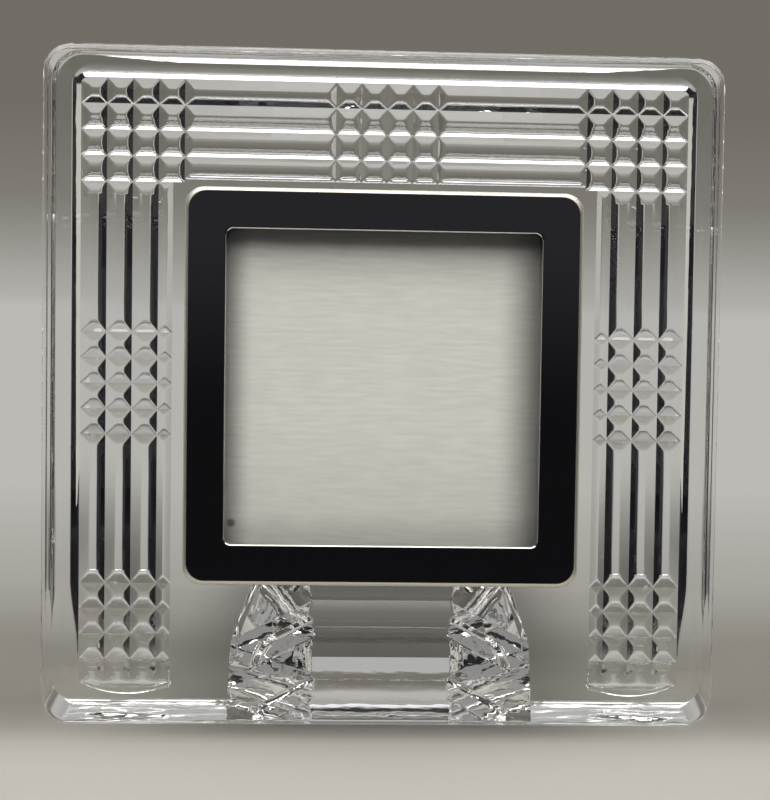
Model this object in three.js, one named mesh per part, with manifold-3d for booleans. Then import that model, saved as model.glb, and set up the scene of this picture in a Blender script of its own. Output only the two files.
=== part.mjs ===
// Crystal picture frame: a leaning square slab of pressed crystal with cut bands on its back,
// a crystal foot behind it, and a polished metal insert that holds a small square picture.
// Millimetres, +Z up. The front faces -Y. The origin is on the table, under the middle of the frame.

import * as THREE from 'three';
import { mergeVertices } from 'three/addons/utils/BufferGeometryUtils.js';
import { ConvexGeometry } from 'three/addons/geometries/ConvexGeometry.js';
import Module from 'manifold-3d';

// Crystal slab
const LEAN = THREE.MathUtils.degToRad(7.5);
const SLAB_SIZE = 110.4;
const SLAB_THICKNESS = 15.5;
const SLAB_CORNER = 4.6;
const EDGE_ROUND = 1.2;
const PATTERN_RISE = 0.4;
const MIDDLE = SLAB_SIZE / 2 + PATTERN_RISE;

// Cut pattern on the back of the slab, measured from the middle of the window
const GROOVE_PITCH = 4.27;
const GROOVE_DEPTH = 1.6;
const GROOVE_SLOPE = THREE.MathUtils.degToRad(38);
const RIDGES_IN_BAND = 4;
const RIDGE_SINK = 0.3;
const BAND_INNER = 33.6;
const BAND_OUTER = BAND_INNER + RIDGES_IN_BAND * GROOVE_PITCH;
const BAND_CORNER = 3;
const INNER_RIDGE_WIDTH = 2.4;
const FIELD_HALF = BAND_INNER + GROOVE_PITCH - INNER_RIDGE_WIDTH;
const CENTRE_CROSS_GROOVES = 5;

// Crystal foot, heights above the table
const FOOT_REAR = 43.9;
const FOOT_ROOT_HALF = 27;
const FOOT_REAR_HALF = 12.6;
const PLINTH_HEIGHT = 3.4;
const COVE_LOW = 4.6;
const COVE_HIGH = 10;
const COVE_INSET = 2.6;
const STEP_INSET = 1.2;
const SIDE_SHARE = 0.35;
const SHOULDER_HEIGHT = 11;
const FOOT_TOP = 22.6;
const FOOT_TOP_HALF = 24.5;
const FOOT_REAR_TOP = 14.5;
const FOOT_REAR_TOP_HALF = 9;
const FOOT_REAR_TOP_SETBACK = 4;
const FOOT_ROOT_Y = 9;

// Window and metal insert
const OPENING = 51;
const OPENING_CORNER = 1.2;
const BEZEL_SIZE = 64.4;
const BEZEL_CORNER = 3.1;
const BEZEL_THICKNESS = 0.9;
const BEZEL_EDGE = 0.4;
const SLEEVE_SIZE = 56.8;
const SLEEVE_WALL = 0.6;
const SLEEVE_CORNER = 1.6;
const BOND_GAP = 1.2;
const BOND_THICKNESS = 0.6;
const BOND_LENGTH = 40;
const BOND_WIDTH = 8;
const WINDOW_SIZE = SLEEVE_SIZE + 2 * BOND_GAP;
const WINDOW_CORNER = 2.2;

// Picture stack inside the sleeve
const GAP = 0.3;
const CONTENT_SIZE = SLEEVE_SIZE - 2 * SLEEVE_WALL - 2 * GAP;
const CONTENT_CORNER = 0.8;
const GLAZING_THICKNESS = 1.6;
const PHOTO_THICKNESS = 0.3;
const BACKING_THICKNESS = 1.2;
const FILLER_THICKNESS = 4.6;
const BOARD_THICKNESS = 3;
const VELVET_THICKNESS = 0.6;
const RIBBON_WIDTH = 9;
const RIBBON_LENGTH = 17;
const RIBBON_THICKNESS = 0.8;
const RIBBON_RISE = 8;

const ARC_STEPS = 6;
const OVERRUN = 5;

const wasm = await Module();
wasm.setup();

// Everything that stands on the slab's own slant sits in this group, from its front bottom edge.
const slant = new THREE.Group();
slant.rotation.x = -LEAN;
slant.updateMatrix();

// A closed solid that can be joined and cut, made from a geometry.
function solidFrom(geometry) {
  const bare = geometry.clone();
  bare.deleteAttribute('normal');
  bare.deleteAttribute('uv');
  const merged = mergeVertices(bare);
  return new wasm.Manifold(new wasm.Mesh({
    numProp: 3,
    vertProperties: new Float32Array(merged.attributes.position.array),
    triVerts: new Uint32Array(merged.index.array),
  }));
}

// The same, after the geometry is leaned back with the slab.
function leanedSolid(geometry) {
  return solidFrom(geometry.applyMatrix4(slant.matrix));
}

function geometryFrom(solid) {
  const mesh = solid.getMesh();
  const geometry = new THREE.BufferGeometry();
  geometry.setAttribute('position', new THREE.BufferAttribute(new Float32Array(mesh.vertProperties), 3));
  geometry.setIndex(new THREE.BufferAttribute(new Uint32Array(mesh.triVerts), 1));
  geometry.computeVertexNormals();
  return geometry;
}

// A square with rounded corners, drawn about the origin.
function roundedSquare(size, corner, Outline = THREE.Shape) {
  const half = size / 2;
  const straight = half - corner;
  const outline = new Outline();
  outline.moveTo(-straight, -half);
  outline.lineTo(straight, -half);
  outline.absarc(straight, -straight, corner, -Math.PI / 2, 0, false);
  outline.lineTo(half, straight);
  outline.absarc(straight, straight, corner, 0, Math.PI / 2, false);
  outline.lineTo(-straight, half);
  outline.absarc(-straight, straight, corner, Math.PI / 2, Math.PI, false);
  outline.lineTo(-half, -straight);
  outline.absarc(-straight, -straight, corner, Math.PI, 1.5 * Math.PI, false);
  return outline;
}

// An outline in the slab's face, given thickness from yFront towards the back.
function plate(outline, yFront, thickness, round = 0) {
  const geometry = new THREE.ExtrudeGeometry(outline, {
    depth: thickness - 2 * round,
    curveSegments: ARC_STEPS,
    bevelEnabled: round > 0,
    bevelSize: round,
    bevelThickness: round,
    bevelSegments: 3,
  });
  geometry.rotateX(Math.PI / 2);
  geometry.translate(0, yFront + thickness - round, 0);
  return geometry;
}

// The wedge that cuts a straight groove, sloped alike on both sides, into the back of the slab.
function grooveWedge(length) {
  const valley = SLAB_THICKNESS - GROOVE_DEPTH;
  const rise = GROOVE_DEPTH + OVERRUN;
  const reach = rise / Math.tan(GROOVE_SLOPE);
  const section = new THREE.Shape();
  section.moveTo(0, valley);
  section.lineTo(reach, valley + rise);
  section.lineTo(-reach, valley + rise);
  section.closePath();
  return new THREE.ExtrudeGeometry(section, { depth: length, bevelEnabled: false });
}

function uprightGroove(x, zLow, zHigh) {
  const wedge = grooveWedge(zHigh - zLow);
  wedge.translate(x, 0, MIDDLE + zLow);
  return leanedSolid(wedge);
}

function levelGroove(z, xLow, xHigh) {
  const wedge = grooveWedge(xHigh - xLow);
  wedge.rotateY(Math.PI / 2);
  wedge.translate(xLow, 0, MIDDLE + z);
  return leanedSolid(wedge);
}

function* bandGrooves() {
  for (let i = 0; i <= RIDGES_IN_BAND; i += 1) {
    yield BAND_INNER + i * GROOVE_PITCH;
  }
}

function* centreCrossGrooves() {
  const first = -(CENTRE_CROSS_GROOVES - 1) / 2;
  for (let i = 0; i < CENTRE_CROSS_GROOVES; i += 1) {
    yield (first + i) * GROOVE_PITCH;
  }
}

// Every groove: the long ones of the two columns and the top row, then the short ones across them
// that leave the diamond blocks in the corners, at mid height and at mid width. Beside the plain
// field the innermost ridge is narrower.
function patternCutters() {
  const cutters = [levelGroove(FIELD_HALF, -FIELD_HALF, FIELD_HALF)];
  const outerLines = [...bandGrooves()].filter((offset) => offset > BAND_INNER);
  for (const offset of outerLines) {
    cutters.push(levelGroove(offset, -BAND_OUTER, BAND_OUTER));
  }
  for (const side of [-1, 1]) {
    const low = Math.min(side * BAND_INNER, side * BAND_OUTER);
    const high = Math.max(side * BAND_INNER, side * BAND_OUTER);
    cutters.push(uprightGroove(side * FIELD_HALF, -BAND_OUTER, FIELD_HALF));
    cutters.push(uprightGroove(side * BAND_INNER, BAND_INNER, BAND_OUTER));
    cutters.push(levelGroove(BAND_INNER, low, high));
    cutters.push(levelGroove(-BAND_INNER, low, high));
    for (const offset of outerLines) {
      cutters.push(uprightGroove(side * offset, -BAND_OUTER, BAND_OUTER));
      cutters.push(levelGroove(-offset, low, high));
    }
    for (const offset of centreCrossGrooves()) {
      cutters.push(levelGroove(offset, low, high));
    }
  }
  for (const offset of centreCrossGrooves()) {
    cutters.push(uprightGroove(offset, BAND_INNER, BAND_OUTER));
  }
  return cutters;
}

// The shallow bed in which the ridges sit a little below the plain border.
function ridgeBed() {
  const outline = roundedSquare(2 * BAND_OUTER, BAND_CORNER);
  const bed = plate(outline, SLAB_THICKNESS - RIDGE_SINK, OVERRUN);
  bed.translate(0, 0, MIDDLE);
  return leanedSolid(bed);
}

// The plain field inside the inverted U of the bands, level with the bottoms of the grooves.
function fieldCutter() {
  const height = MIDDLE + FIELD_HALF + OVERRUN;
  const field = new THREE.BoxGeometry(2 * FIELD_HALF, GROOVE_DEPTH + OVERRUN, height);
  field.translate(0, SLAB_THICKNESS + OVERRUN / 2 - GROOVE_DEPTH / 2, MIDDLE + FIELD_HALF - height / 2);
  return leanedSolid(field);
}

function slabSolid() {
  const inset = 2 * EDGE_ROUND;
  const outline = roundedSquare(SLAB_SIZE - inset, SLAB_CORNER - EDGE_ROUND);
  const geometry = plate(outline, 0, SLAB_THICKNESS, EDGE_ROUND);
  geometry.translate(0, 0, SLAB_SIZE / 2);
  let slab = leanedSolid(geometry).subtract(fieldCutter()).subtract(ridgeBed());
  for (const cutter of patternCutters()) {
    slab = slab.subtract(cutter);
  }
  const window = plate(roundedSquare(WINDOW_SIZE, WINDOW_CORNER), -OVERRUN, SLAB_THICKNESS + 2 * OVERRUN);
  window.translate(0, 0, MIDDLE);
  return slab.subtract(leanedSolid(window));
}

// One level of the foot: a keystone outline that narrows from the slab to the rear face.
function footLevel(height, inset) {
  const rear = FOOT_REAR - inset;
  const root = FOOT_ROOT_HALF - SIDE_SHARE * inset;
  const rearHalf = FOOT_REAR_HALF - SIDE_SHARE * inset;
  return [
    new THREE.Vector3(-root, FOOT_ROOT_Y, height),
    new THREE.Vector3(root, FOOT_ROOT_Y, height),
    new THREE.Vector3(rearHalf, rear, height),
    new THREE.Vector3(-rearHalf, rear, height),
  ];
}

function footTopLevel() {
  const rear = FOOT_REAR - FOOT_REAR_TOP_SETBACK;
  return [
    new THREE.Vector3(-FOOT_TOP_HALF, FOOT_ROOT_Y, FOOT_TOP),
    new THREE.Vector3(FOOT_TOP_HALF, FOOT_ROOT_Y, FOOT_TOP),
    new THREE.Vector3(FOOT_REAR_TOP_HALF, rear, FOOT_REAR_TOP),
    new THREE.Vector3(-FOOT_REAR_TOP_HALF, rear, FOOT_REAR_TOP),
  ];
}

// The foot: a plinth, a hollowed waist above it, and a sloping top that runs back up to the slab.
function footSolid() {
  const waist = (COVE_LOW + COVE_HIGH) / 2;
  const levels = [
    footLevel(-OVERRUN, 0),
    footLevel(PLINTH_HEIGHT, 0),
    footLevel(COVE_LOW, STEP_INSET),
    footLevel(waist, COVE_INSET),
    footLevel(COVE_HIGH, STEP_INSET),
    footLevel(SHOULDER_HEIGHT, 0),
    footTopLevel(),
  ];
  let foot = solidFrom(new ConvexGeometry([...levels[0], ...levels[1]]));
  for (let i = 1; i < levels.length - 1; i += 1) {
    foot = foot.add(solidFrom(new ConvexGeometry([...levels[i], ...levels[i + 1]])));
  }
  return foot;
}

// Pieces centred on the window hang from this group.
const insert = new THREE.Group();
insert.position.z = MIDDLE;
slant.add(insert);

const frame = new THREE.Group();
frame.name = 'crystal_picture_frame';
frame.add(slant);

const CRYSTAL = { color: 0xe9eeee, roughness: 0.03, metalness: 0 };
const PLATED = { color: 0xd2d1cd, roughness: 0.06, metalness: 1 };
const SILICONE = { color: 0xdfe2e0, roughness: 0.4, metalness: 0 };
const PANE = { color: 0xf1f4f3, roughness: 0.02, metalness: 0 };
const PAPER = { color: 0xdcd8d0, roughness: 0.85, metalness: 0 };
const CARD = { color: 0xe4e1d8, roughness: 0.9, metalness: 0 };
const KRAFT = { color: 0xb08d5e, roughness: 0.92, metalness: 0 };
const HARDBOARD = { color: 0x6e4a2c, roughness: 0.85, metalness: 0 };
const VELVET = { color: 0x14161f, roughness: 1, metalness: 0 };
const RIBBON = { color: 0x1a1d2b, roughness: 0.6, metalness: 0 };

function addPiece(parent, name, geometry, finish) {
  const mesh = new THREE.Mesh(geometry, new THREE.MeshStandardMaterial(finish));
  mesh.name = name;
  parent.add(mesh);
  return mesh;
}

// Crystal body, cut flat where it stands on the table
function crystalGeometry() {
  const below = new THREE.BoxGeometry(2 * SLAB_SIZE, 2 * SLAB_SIZE, SLAB_SIZE);
  below.translate(0, 0, -SLAB_SIZE / 2);
  return geometryFrom(slabSolid().add(footSolid()).subtract(solidFrom(below)));
}
addPiece(frame, 'crystal_body', crystalGeometry(), CRYSTAL);

// Bezel, resting on the slab's front
function bezelGeometry() {
  const outline = roundedSquare(BEZEL_SIZE - 2 * BEZEL_EDGE, BEZEL_CORNER - BEZEL_EDGE);
  outline.holes.push(roundedSquare(OPENING + 2 * BEZEL_EDGE, OPENING_CORNER + BEZEL_EDGE, THREE.Path));
  return plate(outline, -GAP - BEZEL_THICKNESS, BEZEL_THICKNESS, BEZEL_EDGE);
}
addPiece(insert, 'bezel', bezelGeometry(), PLATED);

// Sleeve, from the slab's front to just short of the plain field behind it
const SLEEVE_DEPTH = SLAB_THICKNESS - GROOVE_DEPTH - GAP;
function sleeveGeometry() {
  const inside = SLEEVE_SIZE - 2 * SLEEVE_WALL;
  const outline = roundedSquare(SLEEVE_SIZE, SLEEVE_CORNER);
  outline.holes.push(roundedSquare(inside, SLEEVE_CORNER - SLEEVE_WALL, THREE.Path));
  return plate(outline, 0, SLEEVE_DEPTH);
}
addPiece(insert, 'sleeve', sleeveGeometry(), PLATED);

// Bond strips, one in the middle of each side of the window
const BOND_SIDES = ['top', 'left', 'bottom', 'right'];
BOND_SIDES.forEach((side, quarter) => {
  const strip = new THREE.BoxGeometry(BOND_LENGTH, BOND_WIDTH, BOND_THICKNESS);
  strip.translate(0, SLEEVE_DEPTH / 2, SLEEVE_SIZE / 2 + BOND_GAP / 2);
  strip.rotateY(-quarter * Math.PI / 2);
  addPiece(insert, `bond_strip_${side}`, strip, SILICONE);
});

// Picture stack, front to back, each sheet a small gap behind the one before
const STACK = [
  ['glazing_pane', GLAZING_THICKNESS, PANE],
  ['photo_card', PHOTO_THICKNESS, PAPER],
  ['backing_card', BACKING_THICKNESS, CARD],
  ['filler_board', FILLER_THICKNESS, KRAFT],
  ['back_board', BOARD_THICKNESS, HARDBOARD],
  ['back_velvet', VELVET_THICKNESS, VELVET],
];
let stackFront = 0;
for (const [name, thickness, finish] of STACK) {
  const sheet = plate(roundedSquare(CONTENT_SIZE, CONTENT_CORNER), stackFront, thickness);
  addPiece(insert, name, sheet, finish);
  stackFront += thickness + GAP;
}

// Pull ribbon, a flat folded loop with a round end, hanging against the velvet
function ribbonGeometry() {
  const half = RIBBON_WIDTH / 2;
  const outline = new THREE.Shape();
  outline.moveTo(half, RIBBON_LENGTH);
  outline.lineTo(-half, RIBBON_LENGTH);
  outline.lineTo(-half, half);
  outline.absarc(0, half, half, Math.PI, 2 * Math.PI, false);
  outline.closePath();
  const ribbon = plate(outline, stackFront, RIBBON_THICKNESS);
  ribbon.translate(0, 0, RIBBON_RISE);
  return ribbon;
}
addPiece(insert, 'pull_ribbon', ribbonGeometry(), RIBBON);

// Origin on the table, under the middle of the whole frame
const bounds = new THREE.Box3().setFromObject(frame);
frame.position.y = -(bounds.min.y + bounds.max.y) / 2;
frame.position.z = -bounds.min.z;

export default frame;
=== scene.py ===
from math import atan, copysign, cos, dist, exp, hypot, pi, radians, sin, sqrt, tan

import bmesh
import bpy
import numpy as np
from mathutils import Matrix, Vector


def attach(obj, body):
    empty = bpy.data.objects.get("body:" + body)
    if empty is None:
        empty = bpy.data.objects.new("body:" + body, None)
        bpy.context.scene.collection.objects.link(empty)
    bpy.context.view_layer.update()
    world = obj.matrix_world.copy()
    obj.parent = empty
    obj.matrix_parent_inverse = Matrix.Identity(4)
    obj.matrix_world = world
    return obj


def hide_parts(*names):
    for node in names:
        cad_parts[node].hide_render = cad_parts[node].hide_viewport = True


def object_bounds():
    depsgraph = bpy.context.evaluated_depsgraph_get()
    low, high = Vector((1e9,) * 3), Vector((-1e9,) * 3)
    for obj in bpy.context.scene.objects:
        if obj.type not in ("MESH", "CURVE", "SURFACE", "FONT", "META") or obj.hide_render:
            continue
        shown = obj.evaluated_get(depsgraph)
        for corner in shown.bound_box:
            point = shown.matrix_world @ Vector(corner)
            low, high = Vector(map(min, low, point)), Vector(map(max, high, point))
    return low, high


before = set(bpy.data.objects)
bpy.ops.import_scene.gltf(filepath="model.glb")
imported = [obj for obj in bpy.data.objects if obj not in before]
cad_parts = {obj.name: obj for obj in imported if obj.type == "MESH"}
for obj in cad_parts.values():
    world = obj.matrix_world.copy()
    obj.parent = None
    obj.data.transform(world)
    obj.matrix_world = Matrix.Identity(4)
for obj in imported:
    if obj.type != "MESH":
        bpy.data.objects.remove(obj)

# Crystal picture frame: finishes, fine crystal surface, floor, light and camera. Sizes are in
# millimetres until a mesh is made, and in metres after that. Slab coordinates are x to the right, u from
# the slab's front towards its back, and s up the slab from its lower front edge.

CAD_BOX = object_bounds()
MM = 0.001

# How far a cutting tool reaches past what it cuts
OVERRUN = 5.0

# Crystal slab
LEAN = radians(7.5)
SLAB_SIZE = 110.4
SLAB_THICKNESS = 15.5
SLAB_CORNER = 4.6
CORNER_STEPS = 12
EDGE_ROUND = 1.2
BACK_EDGE_ROUND = 1.0
EDGE_STEPS = 6
LOWER_EDGE_ROUND = 0.6
PATTERN_RISE = 0.4
MIDDLE = SLAB_SIZE / 2 + PATTERN_RISE

# Height up the slab where its back meets the table
BACK_FOOT = SLAB_THICKNESS * tan(LEAN)

# Lip along the slab's upper back edge
LIP_WIDTH = 1.2
LIP_HALF = 51.0
LIP_TAPER = 20.0
LIP_SINK = 0.25
LIP_POINTS = 10
LIP_STATIONS = 121

# Cut pattern on the slab's back, from the middle of the window
PITCH = 4.27
BAND_INNER = 33.6
BAND_RIDGES = 4
BAND_OUTER = BAND_INNER + BAND_RIDGES * PITCH
INMOST = BAND_INNER + PITCH
BAND_CORNER = 1.2
LOWER_CORNER = 0.8
CENTRE_CROSS_GROOVES = 5
WALL_RUN = 1.5
CREST_RUN = PITCH / 2 - WALL_RUN
HIP_BLEND = 0.14
INNER_RIDGE_WIDTH = 2.4
INNER_RIDGE_SHARE = 0.85
INNER_ROW_WIDTH = 3.7
INNER_BLEND = 0.35
ROW_BLEND = 0.8
RUN_OUT_START = 1.4
RUN_OUT_LENGTH = 2.8
RUN_OUT_SHARE = 0.3
LAND_FADE_START = 32.0
LAND_FADE = 16.0
LEAST_SQUARE = 1e-9

# Groove sections: slopes at the valley and at the shoulder, run of the wall and of the crest, crest slope
COLUMN_CUT = (37.4, 35.5, WALL_RUN, CREST_RUN, 35.5)
FIRST_ROW_CUT = (36.95, 36.25, 1.35, PITCH / 2 - 1.35, 17.0)
ROW_CUT = (40.0, 38.0, 0.85, PITCH / 2 - 0.85, 17.0)
LOWER_ROW_CUT = (33.5, 31.0, 1.3, PITCH / 2 - 1.3, 31.0)
CROSS_CUT = (37.0, 35.0, 1.4, PITCH / 2 - 1.4, 35.0)
LAND_CUT = (39.5, 35.0, 1.65, 0.45, 35.0)
TOP_LAND_CUT = (40.0, 37.0, 1.0, 3.2, 14.0)
LIP_CUT = (40.0, 39.5, 0.9, 0.3, 39.5)

# Sagging lower end of each column, and the bead along it
END_SAG = 1.6
BEAD_RISE = 0.42
BEAD_HALF = 0.48
BEAD_INNER = 35.0
BEAD_OUTER = 50.2
BEAD_LIFT = 0.35
BEAD_TIP = 0.1
BEAD_STATIONS = 49
BEAD_SIDES = 16

# Grid of the cut pattern
LAND_REACH = 2.1
COARSE_STEP = 3.0
RIM_STEP = 0.2
RELIEF_MARGIN = 2.0
WALL_POINTS = 7
CREST_POINTS = 6
RIM_POINTS = 12
LAND_POINTS = 5
EDGE_POINTS = 9

# Unevenness left by pressing: swells (rate, bend, bend rate, phase) and fine waves (two rates, phase)
SWELL_WAVES = ((0.83, 1.3, 0.31, 0.0), (0.71, 1.1, 0.43, 2.0))
SWELL_SHARE = 0.2
FINE_WAVES = ((1.9, 0.6, 0.0), (-0.5, 1.6, 0.7))
FINE_SHARE = 0.1
UNDERSIDE_RIPPLE = 0.012
UNDERSIDE_GRAIN = 0.12
GRAIN_ACROSS = 0.7
GRAIN_ALONG = 2.4
GRAIN_FADE = 2.0
UNDERSIDE_STEP = 0.45
UNDERSIDE_MARGIN = 1.0
UNDERSIDE_PAST_SLAB = 2.0

# Where the crystal's surface turns wavy, in metres from the front to the back
WAVY_START = 0.002
WAVY_FULL = 0.008
WAVY_LEAST = 0.06

# Window and insert
WINDOW_SIZE = 59.2
WINDOW_CORNER = 2.2
WINDOW_STEPS = 8
OPENING = 51.0
OPENING_CORNER = 1.2
BEZEL_SIZE = 64.4
BEZEL_CORNER = 3.1
BEZEL_FRONT = -1.2
BEZEL_BACK = -0.3
BEZEL_OUTER_ROUND = 0.75
BEZEL_INNER_ROUND = 0.35

# Picture stack, depths from the slab's front
CONTENT_SIZE = 55.0
CONTENT_CORNER = 0.8
CONTENT_STEPS = 6
FILLER_FRONT = 4.0
FILLER_BACK = 8.6
LINER_THICKNESS = 0.45
FLUTE_THICKNESS = 0.35
FLUTE_PRESS = 0.4
FLUTE_PITCH = 8.6
FLUTE_STEPS = 200
VELVET_FRONT = 12.2
VELVET_BACK = 12.8
VELVET_EDGE = 0.5
VELVET_POINTS = 6
VELVET_TURN = 0.8
VELVET_SWELL = 0.06
VELVET_SWELL_SCALE = 0.3
VELVET_STEP = 0.9

# Folded ribbon, heights from the middle of the window
RIBBON_WIDTH = 10.0
RIBBON_THICKNESS = 0.24
RIBBON_TOP = 25.0
RIBBON_FOLD = 8.0
RIBBON_NEAR = 13.1
RIBBON_FAR = 13.9
RIBBON_RIB = 0.55
RIBBON_RIB_RISE = 0.035
RIBBON_PINCH = 0.9
RIBBON_PINCH_REACH = 1.1
RIBBON_SEAM_GAP = 0.35
RIBBON_SEAM_REACH = 6.0
RIBBON_SEAM_CURVE = 0.7
RIBBON_FOLD_SAG = 1.6
RIBBON_FOLD_POINTS = 9
RIBBON_SELVEDGE = 0.3
RIBBON_EDGE_SHARE = 0.3

# Crystal foot, heights above the table and distances from the slab's front
FOOT_REAR = 43.9
FOOT_ROOT_Y = 9.0
FOOT_REAR_HALF = 12.3
FOOT_TAPER = tan(radians(24.5))
FOOT_EDGE = 0.7
FOOT_TOP = 24.0
FOOT_BEVEL = 0.3
FOOT_REAR_TOP = 11.2
FOOT_REAR_TOP_SETBACK = 0.9
FOOT_STEP = 0.5
PLINTH_HEIGHT = 2.7
COVE_LOW = 3.0
COVE_HIGH = 10.6
COVE_INSET = 1.5
COVE_STEP = 0.25

# Hollow in each side of the foot
HOLLOW_LOW = 3.3
HOLLOW_HIGH = 8.1
HOLLOW_FRONT = 21.8
HOLLOW_CURVE = 8.2
HOLLOW_DEPTH = 0.9
HOLLOW_WALL = 0.9

# Pad that the foot grows out of, heights up the slab
BOSS_HALF = 24.4
BOSS_TOP_HALF = 19.9
BOSS_SHOULDER = 15.5
BOSS_SHOULDER_EASE = (0.25, 1.2)
BOSS_TOP = 24.4
BOSS_RISE = 1.4
BOSS_EDGE = 0.7
BOSS_STEPS = 4

# Where the slab's front face meets the table, measured from the foot's rear end
FRONT_Y = CAD_BOX[1][1] / MM - FOOT_REAR

# Paper: painted shade towards the edges, where the bezel's recess shades it (axis, place, reach inward, shade
# at the edge), and a small stain
PAPER_LOW = (MIDDLE - OPENING / 2) * cos(LEAN)
PAPER_HIGH = (MIDDLE + OPENING / 2) * cos(LEAN)
PAPER_SHADE_EDGES = (("X", -OPENING / 2, 4.5, 0.45), ("X", OPENING / 2, -7.5, 0.3), ("Z", PAPER_LOW, 6.0, 0.72),
               ("Z", PAPER_LOW, 22.0, 0.86), ("Z", PAPER_HIGH, -11.0, 0.5))
STAIN_PLACE = Vector((-24.6, FRONT_Y + 6.5, 32.7)) * MM
STAIN_RADIUS = (0.5 * MM, 0.9 * MM)
STAIN_TONE = 0.3

# Camera, in slab coordinates from the middle of the slab's front, and the photograph's frame
PHOTO_WIDTH = 770
FOCAL_PIXELS = 1600
CAMERA_X = -12.05
CAMERA_U = -260.04
CAMERA_S = SLAB_SIZE / 2 + 10.39
CAMERA_PITCH = radians(-2.594)
CAMERA_YAW = radians(-2.726)
CAMERA_ROLL = radians(-0.948)
CAMERA_SIDESTEP = 14.3
SENSOR_WIDTH = 36.0
CLIP_START = 0.01

# Floor and backdrop, in metres: a run goes back along the floor and up the backdrop
FLOOR_LEVEL = -0.0002
FLOOR_HALF = 0.9
FLOOR_FRONT = -0.5
FLOOR_BACK = 0.58
SWEEP_RADIUS = 0.12
SWEEP_STEPS = 12
BACKDROP_TOP = 0.9
FLOOR_COLOUR = (0.55, 0.53, 0.485, 1)
# Painted shade on the floor towards the part, standing in for its shadow: its colour, and the runs in metres
# where it starts and where it is full
FLOOR_SHADE_COLOUR = (0.30, 0.285, 0.25, 1)
FLOOR_SHADE_START = -0.04
FLOOR_SHADE_END = -0.008
TABLE_EDGE = -0.1
TABLE_FADE = 0.04
SIDE_DARK_START = 0.075
SIDE_DARK_END = 0.11
SIDE_DARK_BACK = 0.05

# Shading behind the part, by run in metres
SHADE_START = 0.0
SHADE_FULL = 0.04
SHADE_END = 1.4
SHADES = (
    (0.02, (0.265, 0.252, 0.222, 1)),
    (0.06, (0.385, 0.37, 0.338, 1)),
    (0.15, (0.50, 0.488, 0.457, 1)),
    (0.54, (0.50, 0.485, 0.463, 1)),
    (0.625, (0.40, 0.385, 0.36, 1)),
    (0.69, (0.215, 0.203, 0.18, 1)),
    (0.75, (0.165, 0.154, 0.132, 1)),
    (0.825, (0.165, 0.154, 0.132, 1)),
    (0.92, (0.46, 0.455, 0.44, 1)),
    (1.0, (0.46, 0.455, 0.44, 1)),
    (1.14, (0.36, 0.355, 0.34, 1)),
)

# Painted soft shadow on the floor behind the insert and under the front edge: half widths and runs in metres
SHADE_HALF = (0.02, 0.042)
SHADE_BEHIND = (0.06, 0.2)
SHADE_DEPTH = 0.58
CONTACT_HALF = (0.02, 0.055)
CONTACT_REACH = 0.008
CONTACT_DEPTH = 0.5
CONTACT_ENDS = 0.15

# Cards beside and in front of the part and a strip high behind it, in metres
CARD_X = 0.42
CARD_FRONT = -0.078
CARD_BACK = 0.6
CARD_TOP = 0.22
CARD_FADE = 0.07
CARD_LEAST = 0.02
CARD_COLOUR = (0.55, 0.53, 0.48, 1)
ROOM_COLOUR = (0.012, 0.012, 0.014, 1)
ROOM_THROUGH_GLASS = (0.27, 0.265, 0.26, 1)
ROOM_CARD = ((-0.33, -0.6, FLOOR_LEVEL), (0.33, -0.6, 0.42))
ROOM_LOW = 0.09
ROOM_HIGH = 0.2
ROOM_STRENGTHS = (0.5, 2.0)
REAR_STRIP = ((-0.6, 0.36, 0.56), (0.6, 0.62, 0.56))

# Lamps: place, aim, width and height in metres, and power in watts
LAMPS = {
    "overhead": ((0, 0.12, 0.62), (0, 0.06, 0.05), 0.9, 0.42, 2.8),
    "front": ((0, -0.36, 0.58), (0, 0, 0.05), 0.9, 0.26, 3.2),
}
LAMP_COLOUR = (1, 0.985, 0.96)

BLACK = (0, 0, 0, 1)
WHITE = (1, 1, 1, 1)


# Slab coordinates to the row frame

def slab_matrix():
    """Millimetres in slab coordinates to millimetres in the row frame."""
    return Matrix.Translation((0, FRONT_Y, 0)) @ Matrix.Rotation(-LEAN, 4, "X")


def grid_matrix():
    """A grid round the window's middle, with depths on it, to the row frame."""
    upright = Matrix(((1, 0, 0, 0), (0, 0, 1, 0), (0, 1, 0, MIDDLE), (0, 0, 0, 1)))
    return slab_matrix() @ upright


# Mesh helpers

def make_object(name, vertices, faces, matrix=None):
    """An object from vertices in millimetres, placed by a matrix in millimetres."""
    mesh = bpy.data.meshes.new(name)
    mesh.from_pydata([tuple(v) for v in vertices], [], [tuple(f) for f in faces])
    if matrix is not None:
        mesh.transform(matrix)
    mesh.validate()
    tidy = bmesh.new()
    tidy.from_mesh(mesh)
    bmesh.ops.recalc_face_normals(tidy, faces=tidy.faces)
    tidy.to_mesh(mesh)
    tidy.free()
    piece = bpy.data.objects.new(name, mesh)
    bpy.context.scene.collection.objects.link(piece)
    return piece


def cut(piece, tool, operation):
    """Joins, cuts or intersects a piece with a tool, which is used up."""
    step = piece.modifiers.new(operation.lower(), "BOOLEAN")
    step.operation = operation
    step.object = tool
    step.solver = "MANIFOLD"
    graph = bpy.context.evaluated_depsgraph_get()
    result = bpy.data.meshes.new_from_object(piece.evaluated_get(graph))
    piece.modifiers.clear()
    old = piece.data
    piece.data = result
    bpy.data.meshes.remove(old)
    bpy.data.objects.remove(tool)
    return piece


def finished(piece, sharp_angle):
    """Brings a piece to metres, smooth up to an angle, with flat faces kept flat."""
    piece.data.transform(Matrix.Scale(MM, 4))
    piece.data.shade_smooth()
    piece.data.set_sharp_from_angle(angle=radians(sharp_angle))
    weigh = piece.modifiers.new("flat_faces", "WEIGHTED_NORMAL")
    weigh.keep_sharp = True
    weigh.weight = 100
    return piece


def mark_points(piece, name, values):
    piece.data.attributes.new(name, "FLOAT", "POINT").data.foreach_set("value", values)


def quarter_turn(steps):
    return [step / steps * pi / 2 for step in range(steps + 1)]


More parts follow.
